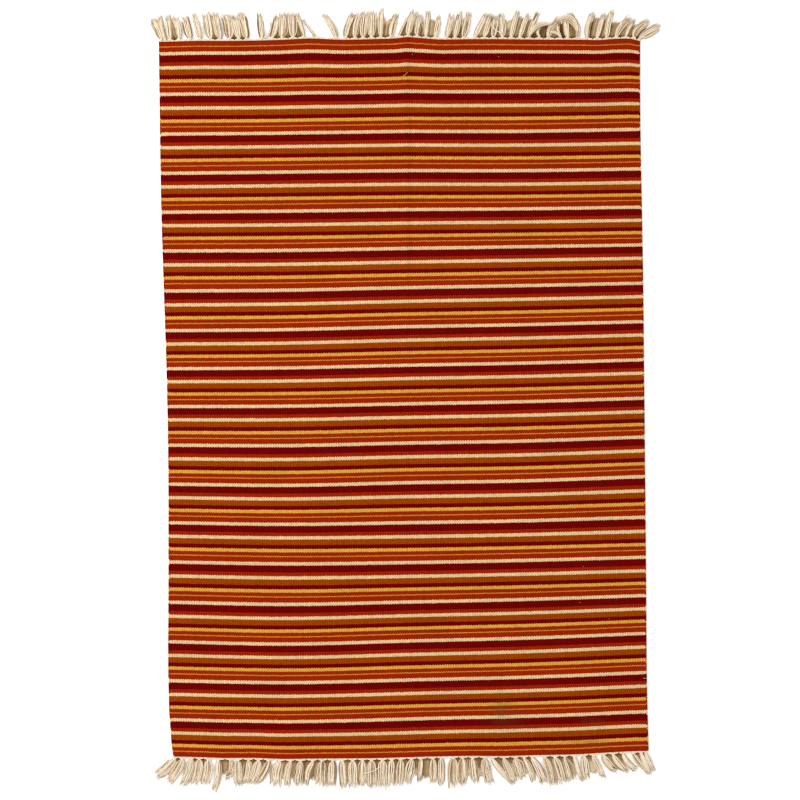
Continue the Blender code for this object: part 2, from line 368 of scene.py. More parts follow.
class Nodes:
    """Short calls that add nodes to a new material and link them."""

    def __init__(self, name, colour, roughness, specular=0.5):
        self.material = bpy.data.materials.new(name)
        self.material.use_nodes = True
        self.tree = self.material.node_tree
        self.shader = self.tree.nodes["Principled BSDF"]
        self.feed(self.shader.inputs["Roughness"], roughness)
        self.feed(self.shader.inputs["Specular IOR Level"], specular)
        self.material.diffuse_color = (*colour, 1.0)

    def add(self, kind, inputs=None, **settings):
        """A new node with these settings, fed by these inputs, which go by name or number."""
        node = self.tree.nodes.new(kind)
        for name, value in settings.items():
            setattr(node, name, value)
        for name, value in (inputs or {}).items():
            self.feed(node.inputs[name], value)
        return node

    def feed(self, socket, value):
        if isinstance(value, bpy.types.NodeSocket):
            self.tree.links.new(value, socket)
        else:
            socket.default_value = value

    def math(self, operation, *values, clamp=False):
        inputs = dict(enumerate(values))
        node = self.add("ShaderNodeMath", inputs, operation=operation, use_clamp=clamp)
        return node.outputs[0]

    def times(self, *values):
        product = values[0]
        for value in values[1:]:
            product = self.math("MULTIPLY", product, value)
        return product

    def plus(self, first, second):
        return self.math("ADD", first, second)

    def swing(self, value, amount, around=1.0):
        """A value around one half, spread out to this amount around another."""
        return self.math("MULTIPLY_ADD", value, amount, around - amount / 2)

    def dome(self, share):
        """A parabola, 0 at both ends of a share that runs from 0 to 1, and 1 at its middle."""
        return self.times(share, self.math("SUBTRACT", 1.0, share), 4.0)

    def bell(self, squared):
        """A bell curve, from a distance squared."""
        return self.math("EXPONENT", self.times(squared, -1.0))

    def mix(self, factor, first, second):
        inputs = {"Factor": factor, "A": first, "B": (*second, 1.0)}
        return self.add("ShaderNodeMix", inputs, data_type="RGBA").outputs["Result"]

    def ramp(self, value, stops, interpolation):
        """A colour read from stops (place, colour), whose places rise from 0."""
        node = self.add("ShaderNodeValToRGB", {0: value})
        node.color_ramp.interpolation = interpolation
        elements = node.color_ramp.elements
        elements.remove(elements[1])
        elements[0].color = (*stops[0][1], 1.0)
        for place, colour in stops[1:]:
            elements.new(place).color = (*colour, 1.0)
        return node.outputs["Color"]

    def vector(self, x=0.0, y=0.0, z=0.0):
        return self.add("ShaderNodeCombineXYZ", {0: x, 1: y, 2: z}).outputs[0]

    def split(self, vector):
        return self.add("ShaderNodeSeparateXYZ", {0: vector}).outputs

    def uv(self, name):
        return self.add("ShaderNodeUVMap", uv_map=name).outputs["UV"]

    def object_place(self):
        return self.add("ShaderNodeTexCoord").outputs["Object"]

    def noise(self, vector, scale=1.0, detail=2.0, roughness=0.5):
        inputs = {"Vector": vector, "Scale": scale, "Detail": detail, "Roughness": roughness}
        return self.add("ShaderNodeTexNoise", inputs).outputs["Fac"]

    def speckle(self, vector):
        node = self.add("ShaderNodeTexWhiteNoise", {"Vector": vector}, noise_dimensions="3D")
        return node.outputs["Value"]

    def scale_colour(self, colour, *factors):
        inputs = {0: colour, "Scale": self.times(*factors)}
        return self.add("ShaderNodeVectorMath", inputs, operation="SCALE").outputs[0]

    def finish(self, colour, height, distance, strength):
        inputs = {"Height": height, "Distance": distance, "Strength": strength}
        bump = self.add("ShaderNodeBump", inputs)
        self.feed(self.shader.inputs["Normal"], bump.outputs[0])
        self.feed(self.shader.inputs["Base Color"], colour)
        return self.material


# The one crease, which runs along Y, and its line of painted shade. The shade deepens toward the
# far end by so much a metre, from a share of its darkness at the rug's middle.
CREASE_AT = 10 * MM
CREASE_WIDTH = 7 * MM
CREASE_PAINTED_SHADE = 0.10
CREASE_GROWTH = 1.6
CREASE_AT_MIDDLE = 0.25
CREASE_SOFTENING = 0.1

# Worn places: the middle in the picture's pixels, the reach across and along in mm, and the
# strength. One colour dims the yarns there.
Smudge = namedtuple("Smudge", "x y across along strength")
SMUDGES = (
    Smudge(501, 709, 17, 22, 0.30),
    Smudge(505, 716, 40, 50, 0.10),
    Smudge(588, 742, 46, 9, 0.30),
    Smudge(592, 721, 30, 12, 0.12),
)
SMUDGE_COLOUR = linear(78, 62, 34)

# The wool's patterns, by the weave's warps and picks: the spread that each gives a tone, or a
# place in picks, how fast it changes, and a layer that keeps two of them apart.
Pattern = namedtuple("Pattern", "swing by_warp by_pick layer")
WANDER = Pattern(1.6, 0.22, 0.06, 0.0)
WOBBLE = Pattern(1.1, 1.0, 0.4, 5.0)
STREAKS = Pattern(0.34, 0.045, 1.7, 0.0)
BEAD_TONES = Pattern(0.27, 1.0, 1.0, 3.0)
PICK_TONES = Pattern(0.10, 0.0, 1.0, 7.0)
CARRIED_PICKS = 6.0
# Painted shade in the hollows between warps and between beads, lighter toward the beads' middles.
HOLLOW_SHADE_TONE = 0.74
HOLLOW_SHADE_RISE = 0.30
WOOL_FIBRE_HEIGHT = 0.25


def to_floor(px, py):
    """The X and Y of a point of the picture, given in its pixels."""
    middle = (PICTURE_PIXELS - 1) / 2
    x = (px - middle) * PIXEL + PICTURE_MIDDLE[0]
    y = (middle - py) * PIXEL + PICTURE_MIDDLE[1]
    return x, y


def stripe_ramp(nodes, place):
    """The yarn's colour at a place in the repeat, from 0 to 1."""
    starts = np.cumsum([0] + [stripe.picks for stripe in STRIPES])[:-1] / REPEAT_PICKS
    stops = [(start, YARNS[stripe.yarn]) for start, stripe in zip(starts, STRIPES)]
    return nodes.ramp(place, stops, "CONSTANT")


def place_in(nodes, pattern, u, v):
    """The place in a pattern, at a warp and a pick of the weave."""
    across = nodes.times(u, pattern.by_warp)
    return nodes.vector(across, nodes.times(v, pattern.by_pick), pattern.layer)


def wandering(nodes, u, v):
    """The place along the weave, moved a little: wefts wander, and the ends of beads wobble."""
    wander = nodes.noise(place_in(nodes, WANDER, u, v))
    wobble = nodes.noise(place_in(nodes, WOBBLE, u, v), detail=0.0)
    v = nodes.plus(v, nodes.swing(wander, WANDER.swing, around=0.0))
    return nodes.plus(v, nodes.swing(wobble, WOBBLE.swing, around=0.0))


def yarn_colour(nodes, u, v, column, pick):
    """The yarn's colour at a pick. At a selvedge, where wefts turn back, other picks show."""
    from_middle = nodes.math("ABSOLUTE", nodes.math("SUBTRACT", u, WARPS / 2))
    at_selvedge = nodes.math("GREATER_THAN", from_middle, WARPS / 2 - 1.0)
    turn = nodes.math("FLOOR", nodes.math("DIVIDE", v, CARRIED_PICKS))
    carried = nodes.swing(nodes.speckle(nodes.vector(column, turn)), CARRIED_PICKS, around=0.0)
    shown_pick = nodes.plus(pick, nodes.times(at_selvedge, carried))
    past_border = nodes.math("SUBTRACT", nodes.plus(shown_pick, 0.5), BORDER_PICKS)
    repeats = nodes.plus(nodes.math("DIVIDE", past_border, REPEAT_PICKS), 1.0)
    striped = stripe_ramp(nodes, nodes.math("FRACT", repeats))
    in_border = nodes.math("LESS_THAN", pick, BORDER_RUST_PICKS)
    return nodes.mix(in_border, striped, YARNS["rust"])


def painted_crease_shade(nodes, x, y):
    """A faint line of painted shade along the crease."""
    off = nodes.math("DIVIDE", nodes.math("SUBTRACT", x, CREASE_AT), CREASE_WIDTH)
    near = nodes.bell(nodes.math("POWER", nodes.math("ABSOLUTE", off), 2.0))
    upper = nodes.math("MULTIPLY_ADD", y, CREASE_GROWTH, CREASE_AT_MIDDLE, clamp=True)
    upper = nodes.math("SMOOTH_MIN", upper, 1.0, CREASE_SOFTENING)
    return nodes.math("MULTIPLY_ADD", nodes.times(near, upper), -CREASE_PAINTED_SHADE, 1.0)


def smudged(nodes, colour, smudge, place):
    """The colour with one worn place in it, ragged by a noise, which doubled lies around one."""
    x, y, _ = nodes.split(place)
    at_x, at_y = to_floor(smudge.x, smudge.y)
    dx = nodes.math("DIVIDE", nodes.math("SUBTRACT", x, at_x), smudge.across * MM)
    dy = nodes.math("DIVIDE", nodes.math("SUBTRACT", y, at_y), smudge.along * MM)
    near = nodes.bell(nodes.plus(nodes.times(dx, dx), nodes.times(dy, dy)))
    ragged = nodes.times(nodes.noise(place, scale=120.0, detail=4.0), 2.0)
    return nodes.mix(nodes.times(near, smudge.strength, ragged), colour, SMUDGE_COLOUR)


def wool_material():
    """The weave: a weft shows as a bead over every second warp, and a bead is two picks long."""
    nodes = Nodes("woven_wool", YARNS["rust"], roughness=1.0, specular=0.02)
    u, v, _ = nodes.split(nodes.uv("weave"))
    place = nodes.object_place()
    x, y, _ = nodes.split(place)

    v = wandering(nodes, u, v)
    column = nodes.math("FLOOR", u)
    parity = nodes.math("FLOORED_MODULO", column, 2.0)
    beads = nodes.times(nodes.math("SUBTRACT", v, parity), 0.5)
    pick = nodes.plus(nodes.times(nodes.math("FLOOR", beads), 2.0), parity)
    dome_across = nodes.dome(nodes.math("FRACT", u))
    dome_along = nodes.dome(nodes.math("FRACT", beads))

    fibre = nodes.noise(place, scale=1500.0, detail=3.0, roughness=0.65)
    colour = nodes.scale_colour(
        yarn_colour(nodes, u, v, column, pick),
        nodes.swing(nodes.speckle(place_in(nodes, BEAD_TONES, column, pick)), BEAD_TONES.swing),
        nodes.swing(nodes.speckle(place_in(nodes, PICK_TONES, column, pick)), PICK_TONES.swing),
        nodes.swing(nodes.noise(place_in(nodes, STREAKS, u, pick)), STREAKS.swing),
        nodes.swing(fibre, amount=0.5),
        nodes.swing(nodes.noise(place, scale=9.0, detail=3.0), amount=0.22),
        # painted shade in the hollows between warps and between beads
        nodes.math("MULTIPLY_ADD", dome_across, HOLLOW_SHADE_RISE, HOLLOW_SHADE_TONE),
        nodes.math("MULTIPLY_ADD", dome_along, HOLLOW_SHADE_RISE, HOLLOW_SHADE_TONE),
        painted_crease_shade(nodes, x, y),
    )
    for smudge in SMUDGES:
        colour = smudged(nodes, colour, smudge, place)

    beaded = nodes.times(*(nodes.math("POWER", dome, 0.5) for dome in (dome_across, dome_along)))
    height = nodes.math("MULTIPLY_ADD", fibre, WOOL_FIBRE_HEIGHT, beaded)
    return nodes.finish(colour, height, distance=0.5 * MM, strength=0.6)


# The cotton: the scales of its fibres go by the metre along a cord and by the turn round it.
COTTON_FIBRE_ALONG = 300.0
COTTON_FIBRE_ROUND = 9.0
PLIES = 2
# The painted shade in the grooves between the plies.
PLY_GROOVE_SHADE = 0.05
COTTON_FIBRE_HEIGHT = 0.4
PLY_HEIGHT = 0.5


def cotton_material(name, tones):
    nodes = Nodes(name, tones[-1].colour, roughness=0.95, specular=0.1)
    length, turn, _ = nodes.split(nodes.uv("cord"))
    place = nodes.object_place()
    shade = nodes.add("ShaderNodeAttribute", attribute_name="shade").outputs["Fac"]
    colour = nodes.ramp(shade, [(tone.place, tone.colour) for tone in tones], "LINEAR")
    along = nodes.times(length, COTTON_FIBRE_ALONG)
    fibre = nodes.noise(nodes.vector(along, nodes.times(turn, COTTON_FIBRE_ROUND)), detail=3.0)
    ply = nodes.math("COSINE", nodes.times(turn, PLIES * 2 * math.pi))
    colour = nodes.scale_colour(
        colour,
        nodes.swing(fibre, amount=0.5),
        nodes.swing(nodes.noise(place, scale=60.0), amount=0.25),
        # painted shade in the grooves between the plies
        nodes.math("MULTIPLY_ADD", ply, PLY_GROOVE_SHADE, 1 - PLY_GROOVE_SHADE),
    )
    plies = nodes.times(ply, PLY_HEIGHT)
    height = nodes.math("MULTIPLY_ADD", fibre, COTTON_FIBRE_HEIGHT, plies)
    return nodes.finish(colour, height, distance=0.3 * MM, strength=0.6)


# The floor, whose second colour is only for Blender's viewport.
FLOOR_COLOUR = (0.98, 0.98, 0.975)
FLOOR_VIEWPORT_COLOUR = (0.94, 0.94, 0.94)


def floor_material():
    nodes = Nodes("pale_floor", FLOOR_VIEWPORT_COLOUR, roughness=0.9)
    place = nodes.object_place()
    patches = nodes.noise(place, scale=40.0, detail=4.0)
    colour = nodes.scale_colour(FLOOR_COLOUR, nodes.swing(patches, amount=0.01))
    grain = nodes.noise(place, scale=400.0)
    return nodes.finish(colour, grain, distance=0.05 * MM, strength=0.1)


def new_object(name, data):
    made = bpy.data.objects.new(name, data)
    bpy.context.scene.collection.objects.link(made)
    return made


def mesh_piece(name, points, face_groups, material, maps=(), shade=None):
    """A mesh from points and arrays of faces. A map is a name, its UVs and whether they go by
    corner instead of by point. The shade is a tone for each point."""
    mesh = bpy.data.meshes.new(name)
    counts = np.concatenate([np.full(len(g), g.shape[1]) for g in face_groups])
    corners = np.concatenate([g.reshape(-1) for g in face_groups]).astype(np.int32)
    mesh.vertices.add(len(points))
    mesh.vertices.foreach_set("co", np.asarray(points, np.float32).reshape(-1))
    mesh.loops.add(len(corners))
    mesh.loops.foreach_set("vertex_index", corners)
    mesh.polygons.add(len(counts))
    starts = np.concatenate([[0], np.cumsum(counts)[:-1]]).astype(np.int32)
    mesh.polygons.foreach_set("loop_start", starts)
    mesh.update(calc_edges=True)
    for map_name, uv, by_corner in maps:
        layer = mesh.uv_layers.new(name=map_name)
        values = uv if by_corner else uv[corners]
        layer.data.foreach_set("uv", np.asarray(values, np.float32).reshape(-1))
    if shade is not None:
        tones = mesh.attributes.new("shade", "FLOAT", "POINT")
        tones.data.foreach_set("value", shade.astype(np.float32))
    mesh.shade_smooth()
    mesh.validate()
    mesh.materials.append(material)
    return new_object(name, mesh)


# The rug's long soft waves, in radians a metre along X and along Y and from a start, their height
# and the crease's. The crease grows by the metre along Y, from a share at the middle.
Wave = namedtuple("Wave", "by_x by_y start")
WAVES = (Wave(5.1, 2.2, 0.6), Wave(-1.4, 3.3, 1.1))
WAVE_HEIGHT = 0.6 * MM
CREASE_HEIGHT = 1.0 * MM
CREASE_SPREAD = 2 * CREASE_WIDTH
CREASE_LIFT_GROWTH = 1.5
CREASE_LIFT_AT_MIDDLE = 0.4

# The cloth's bake chart: the upper face, and beside it the lower face and rim at a smaller scale.
CHART_FILL = 0.97
CHART_MARGIN = 0.01
CHART_SPARE = 0.1
CHART_GAP = 0.08
LOWER_SCALE = 0.5


def rounded(share, thin):
    """The thickness at a share of the way in from a rounded rim, where it is thin, up to one."""
    return thin + (1 - thin) * np.sqrt(1 - (1 - share) ** 2)


def cloth_relief(across, along, top):
    """The height of the cloth's upper or lower face at a grid of loom places."""
    rib = 0.5 - 0.5 * np.cos(2 * np.pi * (across / WARP_PITCH + WARPS / 2))
    to_side = CLOTH_WIDTH / 2 - np.abs(across)
    to_end = CLOTH_LENGTH / 2 - np.abs(along)
    side = rounded(np.clip(to_side / EDGE_ROUNDING, 0.0, 1.0), SIDE_THIN)
    end = rounded(np.clip(to_end / END_ROUNDING, 0.0, 1.0), END_THIN)
    half = CLOTH_THICKNESS / 2 * side[None, :] * end[:, None]
    half = half - RIB_HEIGHT * (1 - rib)[None, :] * side[None, :]
    return CLOTH_THICKNESS / 2 + (half if top else -half)


def swell(across, along):
    """How far the cloth lifts off the floor: hardly at all, in long soft waves and one crease."""
    x, y = across[None, :], along[:, None]
    waves = math.prod(np.sin(w.by_x * x + w.by_y * y + w.start) for w in WAVES)
    crease = np.exp(-(((x - CREASE_AT) / CREASE_SPREAD) ** 2))
    grown = np.clip(CREASE_LIFT_AT_MIDDLE + CREASE_LIFT_GROWTH * y, 0.0, 1.0)
    return WAVE_HEIGHT * (1 + waves) + CREASE_HEIGHT * crease * grown


def loom_rows():
    """The mesh's rows along the loom, closer at the two ends."""
    inner = CLOTH_LENGTH / 2 - END_ROWS[-1]
    middle = np.linspace(-inner, inner, round(2 * inner / ROW_STEP) + 1)
    ends = CLOTH_LENGTH / 2 - np.array(END_ROWS[:-1])
    return np.concatenate([-ends, middle, ends[::-1]])


def cloth_faces(rows, columns):
    """The corners of the faces of the cloth's top, its bottom and the rim between them."""
    index = np.arange(rows * columns).reshape(rows, columns)
    top = np.stack([index[:-1, :-1], index[:-1, 1:], index[1:, 1:], index[1:, :-1]], axis=-1)
    top = top.reshape(-1, 4)
    bottom = top[:, ::-1] + rows * columns
    rim = np.concatenate([index[0, :-1], index[:-1, -1], index[-1, :0:-1], index[:0:-1, 0]])
    after = np.roll(rim, -1)
    side = np.stack([after, rim, rim + rows * columns, after + rows * columns], axis=-1)
    return [top, bottom, side]


def bake_chart(points, groups):
    """The UVs of the cloth's bake chart, by corner."""
    corners = np.concatenate([g.reshape(-1) for g in groups])
    flat = points[:, :2] - points[:, :2].min(axis=0)
    scale = CHART_FILL / ((1 + LOWER_SCALE) * CLOTH_WIDTH + CHART_SPARE)
    chart = flat[corners] * scale + CHART_MARGIN
    lower = np.repeat([False, True, True], [g.size for g in groups])
    beside = (CHART_MARGIN + (CLOTH_WIDTH + CHART_GAP) * scale, CHART_MARGIN)
    chart[lower] = flat[corners[lower]] * scale * LOWER_SCALE + beside
    return chart


def make_cloth(material):
    across = np.linspace(-CLOTH_WIDTH / 2, CLOTH_WIDTH / 2, WARPS * COLUMNS_A_WARP + 1)
    along = loom_rows()
    x, y = place_on_floor(across, along)
    layers = []
    for top in (True, False):
        z = cloth_relief(across, along, top) + swell(across, along)
        layers.append(np.stack([x, y, z], axis=-1).reshape(-1, 3))
    points = np.concatenate(layers)
    groups = cloth_faces(len(along), len(across))
    warps = (across[None, :] + CLOTH_WIDTH / 2) / WARP_PITCH
    picks = (CLOTH_LENGTH / 2 - along[:, None]) / PICK_PITCH
    weave = np.stack(np.broadcast_arrays(warps, picks), axis=-1).reshape(-1, 2)
    weave_map = ("weave", np.concatenate([weave, weave]), False)
    bake_map = ("OFBake", bake_chart(points, groups), True)
    return mesh_piece("rug_cloth", points, groups, material, (weave_map, bake_map))


Fringe = namedtuple("Fringe", "root lean reach belly bow tangle shaded edge")


def fringe_of(end, tassels):
    """The columns of a table of tassels in metres, and the woven end's place at each root."""
    sizes = [column_of(tassels, name) for name in Tassel._fields[:-1]]
    shaded = np.array([tassel.shaded for tassel in tassels])
    return Fringe(*sizes, shaded, woven_end_y(end, sizes[0]))


def eased(t):
    return t * t * (3 - 2 * t)


def share_past(place, start):
    """How far a place lies past a start on the way to one, from 0 to 1."""
    return np.clip((place - start) / (1 - start), 0, 1)


def toned(tone, spread, cords):
    """A tone for each cord, some lighter and some darker."""
    return np.clip(tone + RANDOM.normal(0, spread, (cords, 1)), 0, 1)


# A cord is in full light from a little below its top, and darkest from its middle down. Its
# pattern of fibres starts this far, in metres, from the last cord's.
TOP_LIGHT = 1.1
PATTERN_STEP = 0.37
TINY = 1e-12


def tubes(paths, radii, tone, sides, lobe=0.0, turns=None, side_tone=SIDE_TONE):
    """Closed tubes along paths (cords, steps, 3), with radii and tones (cords, steps), as points,
    faces, the cord map and the tone of each point. A lobe draws the section out to two strands,
    which turn as they go. A cord is darker low on its sides, where its neighbours shade it."""
    cords, steps, _ = paths.shape
    ahead = np.gradient(paths, axis=1)
    ahead /= np.linalg.norm(ahead, axis=2, keepdims=True) + TINY
    aside = np.cross(ahead, np.array([0.0, 0.0, 1.0]))
    aside /= np.linalg.norm(aside, axis=2, keepdims=True) + TINY
    above = np.cross(aside, ahead)
    angle = (np.arange(sides) + 0.5) * 2 * np.pi / sides - np.pi / 2
    turn = np.zeros((cords, steps)) if turns is None else turns
    from_lobe = angle[None, None, :] - turn[..., None]
    reach = radii[..., None] * (1 + lobe * np.cos(2 * from_lobe))
    points = (
        paths[:, :, None, :]
        + (reach * np.cos(angle))[..., None] * aside[:, :, None, :]
        + (reach * np.sin(angle))[..., None] * above[:, :, None, :]
    )
    index = np.arange(cords * steps * sides).reshape(cords, steps, sides)
    here, there = index[:, :-1], index[:, 1:]
    walls = np.stack([here, np.roll(here, -1, 2), np.roll(there, -1, 2), there], axis=-1)
    caps = np.concatenate([index[:, 0, ::-1], index[:, -1]])
    step = np.linalg.norm(np.diff(paths, axis=1), axis=2)
    length = np.concatenate([np.zeros((cords, 1)), np.cumsum(step, axis=1)], axis=1)
    along = length[..., None] + np.arange(cords)[:, None, None] * PATTERN_STEP
    cord_map = np.stack(np.broadcast_arrays(along, from_lobe / (2 * np.pi)), axis=-1)
    # Painted shade: a cord's tone is darker low on its sides.
    upward = np.clip(np.sin(angle) * TOP_LIGHT, 0.0, 1.0)
    shade = tone[..., None] * (side_tone + (1 - side_tone) * upward)
    return (
        points.reshape(-1, 3),
        [walls.reshape(-1, 4), caps],
        cord_map.reshape(-1, 2),
        np.clip(shade, 0.0, 1.0).reshape(-1),
    )


def join(parts):
    """Several sets of points, faces, map and tone as one."""
    points, groups, maps, shades, start = [], [], [], [], 0
    for part_points, part_groups, cord_map, shade in parts:
        points.append(part_points)
        groups += [g + start for g in part_groups]
        maps.append(cord_map)
        shades.append(shade)
        start += len(part_points)
    return np.concatenate(points), groups, np.concatenate(maps), np.concatenate(shades)


def cord_piece(name, cords, material):
    points, groups, cord_map, shade = cords
    return mesh_piece(name, points, groups, material, (("cord", cord_map, False),), shade)


# How unlike one kind's cords are, as a share, in their places, reach, size and tone.
SPREAD = 0.07

# The ways of a tassel's strands. They lie in layers, fan out past the neck and wander.
STRAND_STEPS = 17
STEP_CROWDING = 1.3
REACH_SHARE = 0.95
FLARE_MEAN = -0.04
FLARE_SPREAD = 0.12
OUTERMOST_INSET = 0.6 * CORD_RADIUS
TANGLED_SHARE = 0.55
WANDER_TURNS = (0.7, 1.6)
WANDER_OUTWARD = 0.6 * MM
LEAN_QUICKNESS = 3
LAYER_RISE = 1.7 * MM
LAYER_SKEW = 0.7
LAYER_START = 0.9 * MM
TIP_HEIGHT = 1.1 * CORD_RADIUS

# The strands' looks, with painted shade. Each layer, from the lowest up, is darker by its shade,
# and so are some strands at random, the outermost strands of a tassel and the neck.
LAYER_SHADE = np.array([0.16, 0.06, 0.0])
STRAND_TONE = 0.9
LEAST_STRAND_TONE = 0.3
DARK_STRANDS = 0.10
DARK_STRAND_SHADE = 0.45
EDGE_SHADE = 0.28
NECK_SHADE_TONE = 0.82
NECK_SHARE = 0.3
TAPER_START = 0.84
TAPER = 0.55
FULL_BELLY = 10 * MM
SLIM_RADIUS = 0.6
PLY_TURN = 24 * MM
START_TURN = 6


def strand_paths(t, outward):
    """The middle lines of every strand of these tassels, from neck to tip, and their layers."""
    count = len(t.root)
    root, lean, reach, belly, bow, tangle, _, edge = (column[:, None, None] for column in t)
    place = np.linspace(0.0, 1.0, STRAND_STEPS)[None, None, :] ** STEP_CROWDING
    order = np.linspace(-1.0, 1.0, CORDS_A_TASSEL)
    order = (order + RANDOM.normal(0, SPREAD, (count, CORDS_A_TASSEL)))[..., None]
    share = REACH_SHARE + RANDOM.normal(0, SPREAD, order.shape)
    length = (reach - NECK_AT) * share
    fan = 1 - np.exp(-place * length / FAN_LENGTH)
    flare = 1 + RANDOM.normal(FLARE_MEAN, FLARE_SPREAD, (count, 1, 1)) * place**2
    half = NECK_HALF + (belly / 2 - OUTERMOST_INSET - NECK_HALF) * fan * flare
    phase = RANDOM.uniform(0, 2 * np.pi, order.shape)
    turns = RANDOM.uniform(*WANDER_TURNS, order.shape)
    wander = (np.sin(2 * np.pi * turns * place + phase) - np.sin(phase)) * place
    across = lean * share * place + bow * np.sin(np.pi * place) + tangle * TANGLED_SHARE * wander
    slope = np.arctan2(lean, reach - NECK_AT) * eased(np.clip(place * LEAN_QUICKNESS, 0, 1))
    x = root + order * half * np.cos(slope) + across
    out = NECK_AT + length * place + WANDER_OUTWARD * wander - order * half * np.sin(slope)
    y = edge + outward * out
    layers = np.arange(CORDS_A_TASSEL) % len(LAYER_SHADE)
    layer = RANDOM.permuted(np.tile(layers, (count, 1)), axis=1)[..., None]
    rise = layer * LAYER_RISE * np.sin(np.pi * place**LAYER_SKEW)
    start = KNOT_HEIGHT + (layer - 1) * LAYER_START
    z = TIP_HEIGHT + (start - CORD_RADIUS) * (1 - eased(place)) + rise
    paths = np.stack([x, y, z], axis=-1).reshape(-1, STRAND_STEPS, 3)
    return paths, layer.reshape(-1)


def make_strands(name, t, outward, material):
    paths, layer = strand_paths(t, outward)
    strands = (len(paths), 1)
    slim = np.repeat(np.minimum(1.0, t.belly / FULL_BELLY), CORDS_A_TASSEL)[:, None]
    place = np.linspace(0.0, 1.0, STRAND_STEPS)[None, :]
    radii = CORD_RADIUS * (1 - TAPER * share_past(place, TAPER_START))
    radii = radii * (SLIM_RADIUS + (1 - SLIM_RADIUS) * slim)
    radii = radii * (1 + RANDOM.normal(0, SPREAD, strands))
    length = np.linalg.norm(np.diff(paths, axis=1), axis=2).sum(axis=1)
    turns = place * length[:, None] / PLY_TURN * np.pi * 2 + RANDOM.uniform(0, START_TURN, strands)
    # Painted shade: darker for lower layers, some strands at random, outermost strands and the
    # neck.
    tone = STRAND_TONE + RANDOM.normal(0, SPREAD, strands) - LAYER_SHADE[layer][:, None]
    tone = tone - DARK_STRAND_SHADE * (RANDOM.uniform(0, 1, strands) < DARK_STRANDS)
    beside = np.tile(np.abs(np.linspace(-1, 1, CORDS_A_TASSEL)), len(t.root))
    tone = np.clip(tone - EDGE_SHADE * beside[:, None] ** 4, LEAST_STRAND_TONE, 1.0)
    tone = tone * (NECK_SHADE_TONE + (1 - NECK_SHADE_TONE) * eased(np.clip(place / NECK_SHARE, 0, 1)))
    cords = tubes(paths, radii, tone, sides=6, lobe=0.05, turns=turns)
    return cord_piece(name, cords, material), paths


# The cords laid in the shade between two tassels: their shape, and their tones, painted shade
# that is dark from the knots out to where the light reaches.
DIM_STEPS = 11
DIM_PLACES = np.linspace(0.0, 1.0, DIM_STEPS) ** 1.6
DIM_PITCH = 2.3 * MM
DIM_START = 1.2 * MM
DIM_HEIGHT = 1.5 * MM
DIM_RADIUS = 1.45 * MM
DIM_TAPER_START = 0.75
DIM_TAPER = 0.7
DIM_TAPER_POWER = 1.5
DIM_FAN = 1.6 * MM
LEAST_FILLED = 0.86
DEEP_SHADE = 12 * MM
UNDER_LOOP_TONE = 0.14
DIM_TONE = 0.26
DIM_TONE_GROWTH = 0.16
DIM_TONE_SPREAD = 0.09
DIM_TONE_LIMITS = (0.05, 0.9)
LIT_TONE = 0.7


def shaded_cord(t, i, share, outward):
    """The path and tones of one cord after tassel i, at a share of the way to the next one."""
    gap = t.root[i + 1] - t.root[i]
    columns = (t.lean, t.bow, t.edge)
    lean, bow, edge = (column[i] * (1 - share) + column[i + 1] * share for column in columns)
    shorter = min(t.reach[i], t.reach[i + 1])
    filled = max(LEAST_FILLED, t.shaded[i]) * (1 + RANDOM.normal(0, SPREAD))
    out = (shorter * filled - DIM_START) * DIM_PLACES
    start = t.root[i] + NECK_HALF / 2 + share * (gap - NECK_HALF)
    target = t.root[i] + NECK_HALF + share * (gap - 2 * NECK_HALF)
    bend = lean * DIM_PLACES * min(1.0, filled) + bow * np.sin(np.pi * DIM_PLACES)
    x = start + (target - start) * (1 - np.exp(-out / DIM_FAN)) + bend
    y = edge + outward * (DIM_START + out)
    path = np.stack([x, y, np.full(DIM_STEPS, DIM_HEIGHT)], axis=-1)
    # Painted shade: darker in the hollow under a loop, and lighter where the light reaches.
    middle = DIM_TONE + DIM_TONE_GROWTH * t.shaded[i]
    if t.shaded[i] > 1:
        middle = UNDER_LOOP_TONE
    tone = np.clip(RANDOM.normal(middle, DIM_TONE_SPREAD), *DIM_TONE_LIMITS)
    lit = eased(np.clip((out - shorter * t.shaded[i]) / DEEP_SHADE + 0.5, 0, 1))
    deep = eased(np.clip(out / DEEP_SHADE, 0, 1))
    return path, tone * deep * (1 - lit) + LIT_TONE * lit


def shaded_cords(t, outward):
    """The cords that lie on the floor between tassels that close up, coloured with painted shade.
    """
    paths = []
    tones = []
    for i in np.flatnonzero(t.shaded[:-1]):
        gap = t.root[i + 1] - t.root[i]
        widest = max(gap, gap + t.lean[i + 1] - t.lean[i]) - 2 * NECK_HALF
        cords = max(2, round(widest / DIM_PITCH))
        for share in (np.arange(cords) + 0.5) / cords:
            path, tone = shaded_cord(t, i, share, outward)
            paths.append(path)
            tones.append(tone)
    taper = share_past(DIM_PLACES, DIM_TAPER_START) ** DIM_TAPER_POWER
    radii = np.tile(DIM_RADIUS * (1 - DIM_TAPER * taper), (len(paths), 1))
    return tubes(np.array(paths), radii, np.array(tones), sides=5)


# The frayed fibres at a strand's tip: how they fan out and curl in radians, and in mm their
# lengths, how far apart they start and how high their ends may lie.
TIP_STEPS = 4
TIP_FIBRES = 6
TIP_AIMED_FROM = 4
TIP_FAN = 0.22
TIP_CURL = 0.3
TIP_LENGTHS = (5, 16)
TIP_START_SPREAD = 0.35
TIP_END_HEIGHT = 0.8
TIP_SET_BACK = 1.5 * MM
TIP_LEAST_HEIGHT = 0.6 * MM
TIP_FALL = 0.8
TIP_RADIUS = 0.23 * MM
TIP_TAPER = 0.7
TIP_TONE_SPREAD = 0.08


